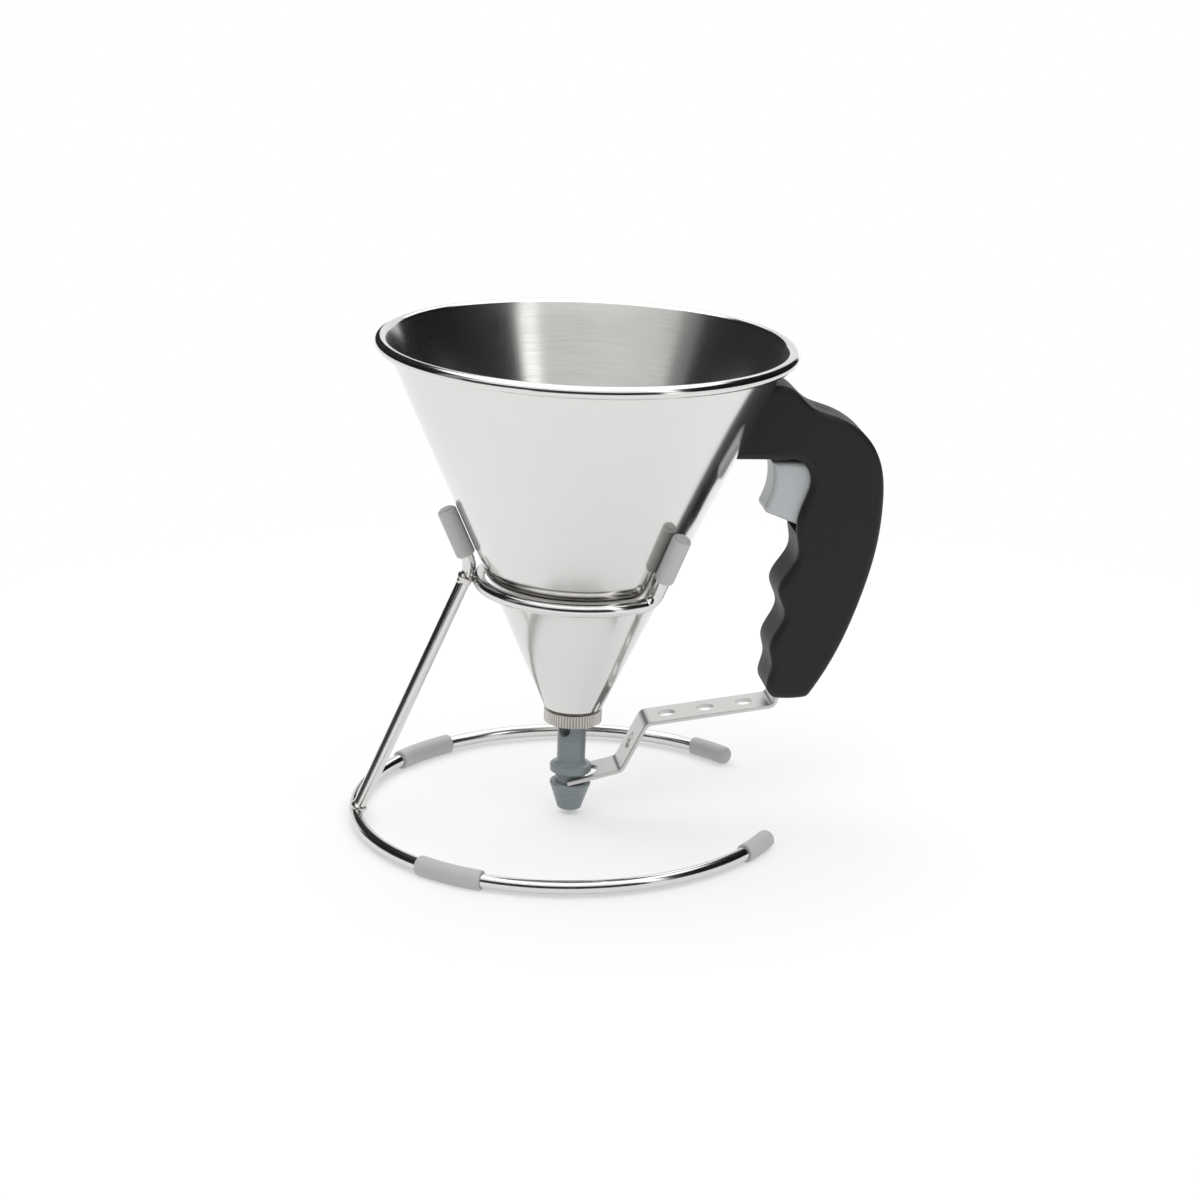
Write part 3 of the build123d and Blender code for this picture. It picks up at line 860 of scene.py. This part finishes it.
    def weld(self, name: str, middle: np.ndarray, phase: float) -> bpy.types.Object:
        """Lumpy weld bead round a point.

        The bead is a ball whose radius swells and sinks: R (1 + k (sin(3 u + p) sin(4 v) +
        sin(7 u - 2 v + p) / 2) sin u) for u from pole to pole and v round the whole turn.

        Args:
            name: the piece's name.
            middle: the bead's middle.
            phase: shift that makes each bead different.

        Returns:
            The bead, standing for its plain solid.
        """
        u = np.linspace(math.pi, 0.0, self.weld_rows)[:, None]
        v = np.linspace(0.0, 2 * math.pi, self.steps, endpoint=False)[None]
        waves = np.sin(3 * u + phase) * np.sin(4 * v) + np.sin(7 * u - 2 * v + phase) / 2
        r = self.weld_r * (1 + self.weld_lumps * waves * np.sin(u))
        east, north = np.sin(u) * np.cos(v), np.sin(u) * np.sin(v)
        ball = np.stack([east, north, np.broadcast_to(np.cos(u), east.shape)], axis=-1)
        return seat(Surface.capped_hoops(name, middle + r[..., None] * ball), "stand", "weld_beads")

    def build(self) -> tuple[list[bpy.types.Object], list[bpy.types.Object]]:
        """Make the rubber pieces on the base ring and the two welds.

        Returns:
            The rubber pieces and the welds.
        """
        rubbers = [make(end) for end in End for make in (self.sleeve, self.end_cap)]
        up_leg = np.array([math.sin(self.leg_lean), 0.0, math.cos(self.leg_lean)])
        foot = np.array([self.centre_x - self.base_r, 0.0, self.base_z])
        foot_phase, ring_phase = self.weld_phases
        welds = [
            self.weld("weld_foot", foot + up_leg * self.wire_r, foot_phase),
            self.weld("weld_ring", foot + up_leg * self.ring_touch, ring_phase),
        ]
        return rubbers, welds

    def dress(self, rubbers: Sequence[bpy.types.Object], welds: Sequence[bpy.types.Object]) -> None:
        """Polish the wires and welds and give the caps their rubber.

        Args:
            rubbers: the sleeves and end caps.
            welds: the weld beads.
        """
        wire = DrawnSteel(
            "polished_wire",
            colour=(0.76, 0.75, 0.74), haze=(0.09, 0.21), stretch=(420.0, 420.0, 900.0), depth=0.000002,
        )
        coat(wire, nodes=self.wires)
        weld = DrawnSteel(
            "bright_weld",
            colour=(0.7, 0.685, 0.66), haze=(0.14, 0.34), stretch=(700.0, 700.0, 700.0), depth=0.00003,
        )
        coat(weld, pieces=welds)
        rubber = GrainedPlastic(
            "grey_rubber",
            colour=(0.51, 0.508, 0.5), haze=(0.42, 0.6), grain=0.0006, depth=0.00001, specular=0.4,
        )
        coat(rubber, nodes=self.caps, pieces=rubbers)


@dataclass
class Outlet:
    """Ferrule, seal, knurled ring and piston at the cone's outlet."""

    lean: Lean
    ring_d: float = 0.0212
    ring_low: float = 0.036
    ring_h: float = 0.0052
    ring_lip: float = 0.0012
    bore_r: float = 0.0056
    socket_r: float = 0.00845
    knurls: int = 60
    knurl_depth: float = 0.0008
    edge: float = 0.0003
    steps: int = 600
    wall_rows: int = 6
    tube_r: float = 0.0052
    tube_z: Pair = (0.0218, 0.0372)
    tube_rows: int = 64
    flare_r: float = 0.002
    piston_top: float = 0.0475
    top_round: float = 0.002
    tip_r: float = 0.0046
    tip_round: float = 0.00093
    land_r: float = 0.0075
    land_z: Pair = (0.0106, 0.0115)
    groove_r: float = 0.0055
    groove_z: Pair = (0.0127, 0.0166)
    collar_r: float = 0.00765
    collar_top: float = 0.0195
    bevel: float = 0.0004
    arc_rows: int = 8
    drip_r: float = 0.0032
    bore_top: float = 0.03
    port_r: float = 0.0025
    port_z: float = 0.0334
    port_turn: float = math.radians(45.0)
    port_wall: float = 0.0002
    port_depth: float = 0.0006
    piston_steps: int = 240

    def knurled_ring(self) -> bpy.types.Object:
        """Ring with straight knurls round its rim.

        The section runs along the bottom, up the knurled rim between two small chamfers, over the
        top and down through the stepped bore. On the rim the radius is R - d (1 - |sin(n t / 2)|)
        for n knurls of the depth d, so that the ridges are round and the grooves are sharp.

        Returns:
            The ring, standing for its plain solid.
        """
        rim = self.ring_d / 2
        high = self.ring_low + self.ring_h
        shelf = self.ring_low + self.ring_lip
        face = rim - self.knurl_depth - self.edge
        wall = np.linspace(self.ring_low + self.edge, high - self.edge, self.wall_rows)
        inner = [self.socket_r, self.socket_r, self.bore_r]
        radii = np.array([self.bore_r, face, *np.full(self.wall_rows, rim), face, *inner])
        heights = np.array([self.ring_low, self.ring_low, *wall, high, high, shelf, shelf])
        knurled = (radii == rim).astype(float)
        turn = np.linspace(0.0, 2 * math.pi, self.steps, endpoint=False)
        groove = self.knurl_depth * (1 - np.abs(np.sin(self.knurls * turn / 2)))
        r = radii[:, None] - knurled[:, None] * groove
        z = np.broadcast_to(heights[:, None], r.shape)
        grid = np.stack([r * np.cos(turn), r * np.sin(turn), z], axis=-1)
        ring = Surface.closed_hoops("outlet_ring", self.lean.world(grid), range(len(radii)))
        return seat(ring, "ring", "knurled_ring")

    def piston_section(self) -> tuple[np.ndarray, list[int]]:
        """Section of the piston as radii and heights, from the blind bore out and up to the top.

        Straight runs between the corners, with a quarter arc at the tip's end, at the flare above
        the collar and at the top.

        Returns:
            The section's points, the first and the last on the axis, and the numbers of its sharp
            corners, counted from the second point.
        """
        q = np.linspace(0.0, math.pi / 2, self.arc_rows)
        bore = [(0.0, self.bore_top), (self.drip_r, self.bore_top), (self.drip_r, MOUTH_Z)]
        tip_r = self.tip_r - self.tip_round * (1 - np.sin(q))
        tip_z = MOUTH_Z + self.tip_round * (1 - np.cos(q))
        low, high = self.groove_z
        slope_end, land_low = self.land_z
        land_edge = self.land_r - self.bevel
        land_side = [(self.land_r, land_low), (self.land_r, low - self.bevel)]
        land = [(land_edge, slope_end), *land_side, (land_edge, low)]
        groove = [(self.groove_r, low), (self.groove_r, high)]
        collar_side = [(self.collar_r, high + self.bevel), (self.collar_r, self.collar_top - self.bevel)]
        collar = [(self.collar_r - self.bevel, high), *collar_side]
        flare_r = self.tube_r + self.flare_r * (1 - np.sin(q))
        flare_z = self.collar_top + self.flare_r * (1 - np.cos(q))
        tube_z = np.linspace(*self.tube_z, self.tube_rows)
        top_r = self.tube_r - self.top_round * (1 - np.cos(q))
        top_z = self.piston_top - self.top_round * (1 - np.sin(q))
        tip, flare = np.stack([tip_r, tip_z], axis=-1), np.stack([flare_r, flare_z], axis=-1)
        tube = np.stack([np.full_like(tube_z, self.tube_r), tube_z], axis=-1)
        over = [*np.stack([top_r, top_z], axis=-1), (0.0, self.piston_top)]
        section = np.concatenate([bore, tip, land, groove, collar, flare, tube, over])
        first = len(bore) - 1 + len(tip)
        sharp = len(land) + len(groove) + len(collar) + 1
        return section, [0, 1, *range(first, first + sharp)]

    def piston(self) -> bpy.types.Object:
        """Turned piston with two side ports.

        The section is carried round the axis. Round the tube's ports, the radius falls toward the
        axis with a steep smooth step of the distance from the port's middle line, which is
        the square root of (r sin(t - t0))^2 + (z - z0)^2.

        Returns:
            The piston, standing for its plain solid.
        """
        section, creases = self.piston_section()
        turn = np.linspace(0.0, 2 * math.pi, self.piston_steps, endpoint=False)
        r = np.repeat(section[:, :1], self.piston_steps, axis=1)
        z = np.repeat(section[:, 1:], self.piston_steps, axis=1)
        away = np.hypot(self.tube_r * np.sin(turn - self.port_turn), z - self.port_z)
        share = np.clip((self.port_r - away) / self.port_wall, 0.0, 1.0)
        share = share * share * (3 - 2 * share) * (r == self.tube_r)
        r = r + (self.port_depth - r) * share
        grid = np.stack([r * np.cos(turn), r * np.sin(turn), z], axis=-1)
        piston = Surface.capped_hoops("turned_piston", self.lean.world(grid), creases)
        return seat(piston, "piston", "piston")

    def dress(self, ring: bpy.types.Object, piston: bpy.types.Object) -> None:
        """Give the outlet's pieces their finishes.

        Args:
            ring: the knurled ring.
            piston: the piston.
        """
        turned = PolishedSteel(
            "turned_fitting",
            colour=(0.6, 0.58, 0.55), haze=(0.14, 0.28), pitch=0.0003, depth=0.000004,
            axis=self.lean, spread=0.5,
        )
        coat(turned, nodes=("outlet_ferrule",), pieces=[ring])
        grey = TurnedPlastic(
            "grey_acetal",
            colour=(0.225, 0.258, 0.27), haze=(0.2, 0.36), pitch=0.00035, depth=0.000006,
            axis=self.lean,
        )
        coat(grey, pieces=[piston])
        seal = GrainedPlastic(
            "seal_rubber", colour=(0.02, 0.02, 0.021), haze=(0.5, 0.7), grain=0.0005, depth=0.00001
        )
        coat(seal, nodes=("piston_seal",))


@dataclass
class Handle:
    """Two-part handle with the lever, the trigger and what is inside."""

    lean: Lean
    heel: Pair = (0.053923, 0.137485)
    tongue_t: float = 0.003
    tongue_side: tuple[Pair, ...] = (
        (0.035, 0.004), (0.0019, 0.004), (0.009, 0.0197), (0.024, 0.0181), (0.0295, 0.01755),
        (0.0313, 0.0171), (0.0327, 0.01668), (0.034, 0.01628), (0.035, 0.01594),
    )
    spring_x: Pair = (0.085323, 0.103873)
    spring_z: float = 0.122985
    coil_r: float = 0.0035
    spring_wire_r: float = 0.0005
    spring_turns: int = 7
    turn_steps: int = 32
    wire_steps: int = 12
    squeezed: float = 0.53

    def spring(self) -> bpy.types.Object:
        """Coil spring behind the trigger.

        The wire's middle runs on a helix: x grows evenly while (y, z) goes round the coil's
        circle. Each hoop of the wire stands square to it, on the outward direction of the coil
        and the cross product of that direction with the helix's own.

        Returns:
            The spring, standing for its plain solid.
        """
        whole = 2 * math.pi * self.spring_turns
        turn = np.linspace(0.0, whole, self.turn_steps * self.spring_turns)
        start, end = self.spring_x
        zero = np.zeros_like(turn)
        x = start + (end - start) * turn / whole
        out = np.stack([zero, np.sin(turn), np.cos(turn)], axis=-1)
        middle = self.coil_r * out + np.stack([x, zero, zero + self.spring_z], axis=-1)
        rise = zero + (end - start) / whole / self.coil_r
        ahead = np.stack([rise, np.cos(turn), -np.sin(turn)], axis=-1)
        ahead /= np.linalg.norm(ahead, axis=-1, keepdims=True)
        side = np.cross(ahead, out)
        v = np.linspace(0.0, 2 * math.pi, self.wire_steps, endpoint=False)[None, :, None]
        reach = np.cos(v) * out[:, None] - np.sin(v) * side[:, None]
        hoops = middle[:, None] + self.spring_wire_r * reach
        grid = self.lean.world(np.concatenate([hoops[:1], hoops, hoops[-1:]]))
        spring = Surface.capped_hoops("coil_spring", grid, [0, len(hoops) - 1])
        seat(spring, "funnel", "return_spring")
        stop = self.lean.world(np.array([end + self.spring_wire_r, 0.0, self.spring_z]))
        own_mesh(spring)
        return spring

    def tongue(self) -> bpy.types.Object:
        """Tongue that holds the handle to the cone, flush with the handle's back.

        The side outline, measured out and up from the handle's heel, is carried straight across
        the tongue's thickness and closed flat on both sides.

        Returns:
            The tongue, standing for its plain solid.
        """
        side = np.array(self.tongue_side) + np.array(self.heel)
        half = self.tongue_t / 2
        across = np.array([-half, -half, half, half])[:, None]
        shape = (len(across), len(side))
        x, z = (np.broadcast_to(column, shape) for column in side.T)
        grid = np.stack([x, np.broadcast_to(across, shape), z], axis=-1)
        tongue = Surface.capped_hoops("black_tongue", self.lean.world(grid))
        tongue.data.shade_flat()
        return seat(tongue, "funnel", "handle_bracket")

    def dress(self, tongue: bpy.types.Object, spring: bpy.types.Object) -> None:
        """Give the handle's pieces their finishes.

        Args:
            tongue: the tongue in the handle.
            spring: the spring behind the trigger.
        """
        black = GrainedPlastic(
            "grained_black",
            colour=(0.0095, 0.0095, 0.01), haze=(0.42, 0.6), grain=0.00045, depth=0.00004,
            specular=0.36, seam=0.0003,
        )
        coat(black, nodes=("handle_shell_near", "handle_shell_far"))
        pale = GrainedPlastic(
            "satin_grey", colour=(0.53, 0.555, 0.565), haze=(0.3, 0.42), grain=0.0009, depth=0.000008
        )
        coat(pale, nodes=("trigger",))
        strip = DrawnSteel(
            "brushed_strip",
            colour=(0.66, 0.65, 0.635), haze=(0.24, 0.42), stretch=(45.0, 2600.0, 45.0), depth=0.00001,
        )
        coat(strip, nodes=("lever_arm",))
        pins = DrawnSteel(
            "plated_steel",
            colour=(0.62, 0.62, 0.61), haze=(0.18, 0.34), stretch=(700.0, 300.0, 700.0), depth=0.000003,
        )
        steel_nodes = ("handle_screws", "lever_pin", "trigger_rivets")
        coat(pins, nodes=steel_nodes, pieces=[spring])
        oxide = DrawnSteel(
            "blackened_steel",
            colour=(0.035, 0.035, 0.036), haze=(0.45, 0.6), stretch=(500.0, 500.0, 500.0), depth=0.00001,
        )
        coat(oxide, pieces=[tongue])


@dataclass(frozen=True)
class Card:
    """A curved card round the object, with angles in degrees from the camera's side."""

    name: str
    reach: float
    turns: Pair
    heights: Pair
    grey: float


@dataclass
class Studio:
    """Pale floor, three softboxes, plain cards and the camera."""

    view_turn: float = math.radians(-7.76)
    view_rise: float = math.radians(17.6)
    view_roll: float = math.radians(0.38)
    view_range: float = 1.04
    lens: float = 86.6
    seat_height: float = 0.095
    target_height: float = 0.100
    shift_right: float = 0.00777
    shift_up: float = -0.0169
    floor_half: float = 40.0
    watts: float = 4.0
    room: float = 0.05
    strip_turn: float = math.radians(44.0)
    strip_reach: float = 0.95
    strip_height: float = 0.4
    card_steps: int = 32
    cards: tuple[Card, ...] = (
        Card("dark_front", reach=0.62, turns=(-28.0, 38.0), heights=(0.0005, 0.42), grey=0.03),
        Card("dark_corner", reach=0.62, turns=(-62.0, -28.0), heights=(0.1, 0.42), grey=0.03),
        Card("grey_front", reach=0.60, turns=(-66.0, 37.0), heights=(0.42, 0.85), grey=0.78),
        Card("grey_side", reach=0.60, turns=(-80.0, -66.0), heights=(0.2, 0.85), grey=0.27),
        Card("dark_left", reach=0.62, turns=(-165.0, -62.0), heights=(0.14, 0.85), grey=0.008),
        Card("dark_right", reach=0.62, turns=(51.0, 150.0), heights=(0.1, 0.85), grey=0.005),
    )

    def camera(self, lean: Lean) -> None:
        """Place the camera at the photograph's angle.

        Args:
            lean: the funnel's frame, whose axis the view is aimed by.
        """
        turn, rise, roll = self.view_turn, self.view_rise, self.view_roll
        back = Vector(
            (math.sin(turn) * math.cos(rise), -math.cos(turn) * math.cos(rise), math.sin(rise))
        )
        right = Vector((math.cos(turn), math.sin(turn), 0.0))
        up = back.cross(right)
        aim = Vector((lean.at(self.seat_height).x, 0.0, self.target_height))
        aim += right * self.shift_right + up * self.shift_up
        rolled_right = right * math.cos(roll) + up * math.sin(roll)
        rolled_up = up * math.cos(roll) - right * math.sin(roll)
        lens = bpy.data.cameras.new("view")
        lens.lens = self.lens
        camera = linked("view", lens)
        matrix = Matrix((rolled_right, rolled_up, back)).transposed().to_4x4()
        matrix.translation = aim + back * self.view_range
        camera.matrix_world = matrix
        bpy.context.scene.camera = camera

    def floor(self) -> None:
        """Lay a wide pale floor."""
        half = self.floor_half
        corners = [(-half, -half, 0), (half, -half, 0), (half, half, 0), (-half, half, 0)]
        mesh = bpy.data.meshes.new("floor")
        mesh.from_pydata(corners, [], [(0, 1, 2, 3)])
        white = PaleFloor(
            "pale_floor", colour=(0.94, 0.94, 0.94), near=0.1, far=0.42, glow=1.0, least=0.4
        )
        mesh.materials.append(white.material())
        linked("floor", mesh)

    def softbox(self, name: str, place: Triple, aim: Triple, size: Pair, radiance: float) -> None:
        """Add an area light.

        Args:
            name: the light's name.
            place: its middle.
            aim: the point it faces.
            size: its width and height.
            radiance: how bright its face is, where 1 is white.
        """
        light = bpy.data.lights.new(name, "AREA")
        light.shape = "RECTANGLE"
        light.size, light.size_y = size
        light.energy = radiance * self.watts * size[0] * size[1]
        lamp = linked(name, light)
        lamp.location = place
        ahead = Vector(aim) - Vector(place)
        lamp.rotation_euler = ahead.to_track_quat("-Z", "Y").to_euler()
        lamp.visible_camera = False

    def hang(self, card: Card) -> None:
        """Hang a curved card round the object, seen only in reflections.

        The card is the grid (reach sin t, -reach cos t, z) for t over its turns and z from its
        lower edge to its upper one, turned with the camera.

        Args:
            card: what is hung.
        """
        count = self.card_steps
        turn = np.radians(np.linspace(*card.turns, count)) + self.view_turn
        low, high = card.heights
        x, y = card.reach * np.sin(turn), -card.reach * np.cos(turn)
        foot = np.stack([x, y, np.full(count, low)], axis=-1)
        points = np.concatenate([foot, foot + np.array([0.0, 0.0, high - low])])
        step = np.arange(count - 1)
        quads = np.stack([step, step + 1, step + count + 1, step + count], axis=-1)
        mesh = bpy.data.meshes.new(card.name)
        mesh.from_pydata(points, [], quads)
        mesh.materials.append(PlainCard(card.name, card.grey).material())
        hung = linked(card.name, mesh)
        for rays in ("camera", "diffuse", "shadow", "transmission"):
            setattr(hung, f"visible_{rays}", False)

    def light(self) -> None:
        """Hang the lights and the cards and set a dim room that the camera sees as white."""
        turn = self.strip_turn + self.view_turn
        reach = self.strip_reach
        strip = (reach * math.sin(turn), -reach * math.cos(turn), self.strip_height)
        middle = (0.0, 0.0, 0.0)
        self.softbox("overhead", place=(0.0, 0.0, 1.0), aim=middle, size=(2.3, 2.9), radiance=1.3)
        self.softbox("strip", place=strip, aim=(0.0, 0.0, 0.12), size=(0.18, 0.8), radiance=0.68)
        self.softbox(
            "backdrop", place=(0.0, 1.7, 0.55), aim=(0.0, 0.0, 0.3), size=(3.4, 1.0), radiance=0.7
        )
        for card in self.cards:
            self.hang(card)
        world = bpy.data.worlds.new("room")
        world.use_nodes = True
        graph = Graph(world.node_tree)
        seen = graph.node("ShaderNodeLightPath", out="Is Camera Ray")
        grey = (self.room, self.room, self.room, 1.0)
        dim = graph.node("ShaderNodeBackground", {}, {"Color": grey})
        white = graph.node("ShaderNodeBackground", {}, {"Color": (1.0, 1.0, 1.0, 1.0)})
        blend = graph.node("ShaderNodeMixShader", {}, {0: seen, 1: dim, 2: white})
        graph.close(blend, "ShaderNodeOutputWorld")
        bpy.context.scene.world = world
        bpy.context.scene.view_settings.view_transform = "Standard"


def main() -> None:
    """Build and dress the sub-assemblies in order, then the studio."""
    logging.basicConfig(level=logging.INFO, format="%(message)s")
    lean = Lean.from_record(frame["record"])
    cone = FunnelCone(lean)
    cone.dress(cone.build())
    stand = Stand()
    stand.dress(*stand.build())
    outlet = Outlet(lean)
    outlet.dress(outlet.knurled_ring(), outlet.piston())
    handle = Handle(lean)
    handle.dress(handle.tongue(), handle.spring())
    studio = Studio()
    studio.floor()
    studio.light()
    studio.camera(lean)


if __name__ == "__main__":
    main()
